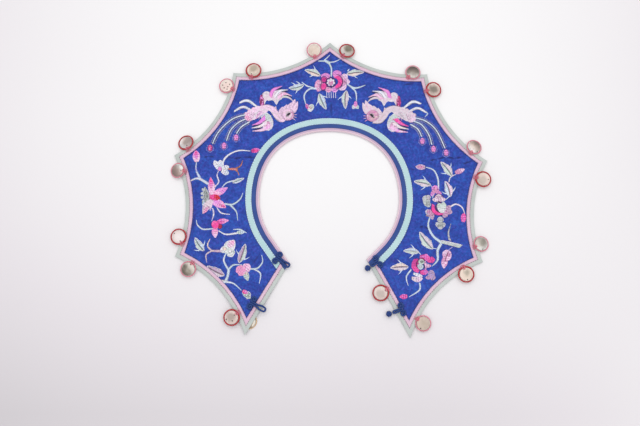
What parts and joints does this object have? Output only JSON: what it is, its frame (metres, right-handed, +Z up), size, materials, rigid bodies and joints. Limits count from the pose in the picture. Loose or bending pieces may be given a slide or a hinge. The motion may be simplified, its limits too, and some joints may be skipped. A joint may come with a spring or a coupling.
{
  "type": "embroidered bib collar",
  "caption": "Scalloped satin bib collar laid flat, with an open front, applied bands, cord frogs and discs sewn along the edge.",
  "frame": {"origin": "middle of the bounding box, on the table the collar lies on", "axes": "+X to the wearer's left as seen from above, +Y from the front opening to the back of the neck, +Z up off the table"},
  "size_m": [0.3322, 0.315, 0.0064],
  "materials": {
    "blue_satin": "royal blue silk satin, soft sheen",
    "pink_tape": "pale pink ribbed tape",
    "celadon_tape": "grey-green celadon bias binding",
    "aqua_ribbon": "pale aqua woven ribbon",
    "navy_strip": "navy blue plain-weave strip",
    "pink_piping": "faded pink piping",
    "navy_cord": "navy cotton cord, knotted",
    "disc_metal": "thin stamped sheet metal, silvery champagne, worn shine",
    "red_cord": "dark red silk cord",
    "pink_cord": "dusty pink silk cord",
    "silk_thread": "satin-stitched silk floss in pink, magenta, white, grey-green and lavender"
  },
  "bodies": {
    "root": {"satin_panel": "blue_satin", "pink_border": "pink_tape", "celadon_binding": "celadon_tape", "aqua_ribbon": "aqua_ribbon", "navy_neck_strip": "navy_strip", "pink_neck_piping": "pink_piping", "frog_loop_upper": "navy_cord", "frog_loop_lower": "navy_cord", "frog_stem_upper": "navy_cord", "frog_stem_lower": "navy_cord", "knot_ball_upper": "navy_cord", "knot_ball_lower": "navy_cord", "disc_01": "disc_metal", "disc_02": "disc_metal", "disc_03": "disc_metal", "disc_04": "disc_metal", "disc_05": "disc_metal", "disc_06": "disc_metal", "disc_07": "disc_metal", "disc_08": "disc_metal", "disc_09": "disc_metal", "disc_10": "disc_metal", "disc_11": "disc_metal", "disc_12": "disc_metal", "disc_13": "disc_metal", "disc_14": "disc_metal", "disc_15": "disc_metal", "disc_16": "disc_metal", "disc_17": "disc_metal", "disc_18": "disc_metal", "rim_01": "pink_cord", "rim_02": "red_cord", "rim_03": "red_cord", "rim_04": "pink_cord", "rim_05": "red_cord", "rim_06": "pink_cord", "rim_07": "red_cord", "rim_08": "pink_cord", "rim_09": "red_cord", "rim_10": "pink_cord", "rim_11": "pink_cord", "rim_12": "red_cord", "rim_13": "pink_cord", "rim_14": "red_cord", "rim_15": "pink_cord", "rim_16": "red_cord", "rim_17": "red_cord", "rim_18": "pink_cord"}
  },
  "joints": []
}
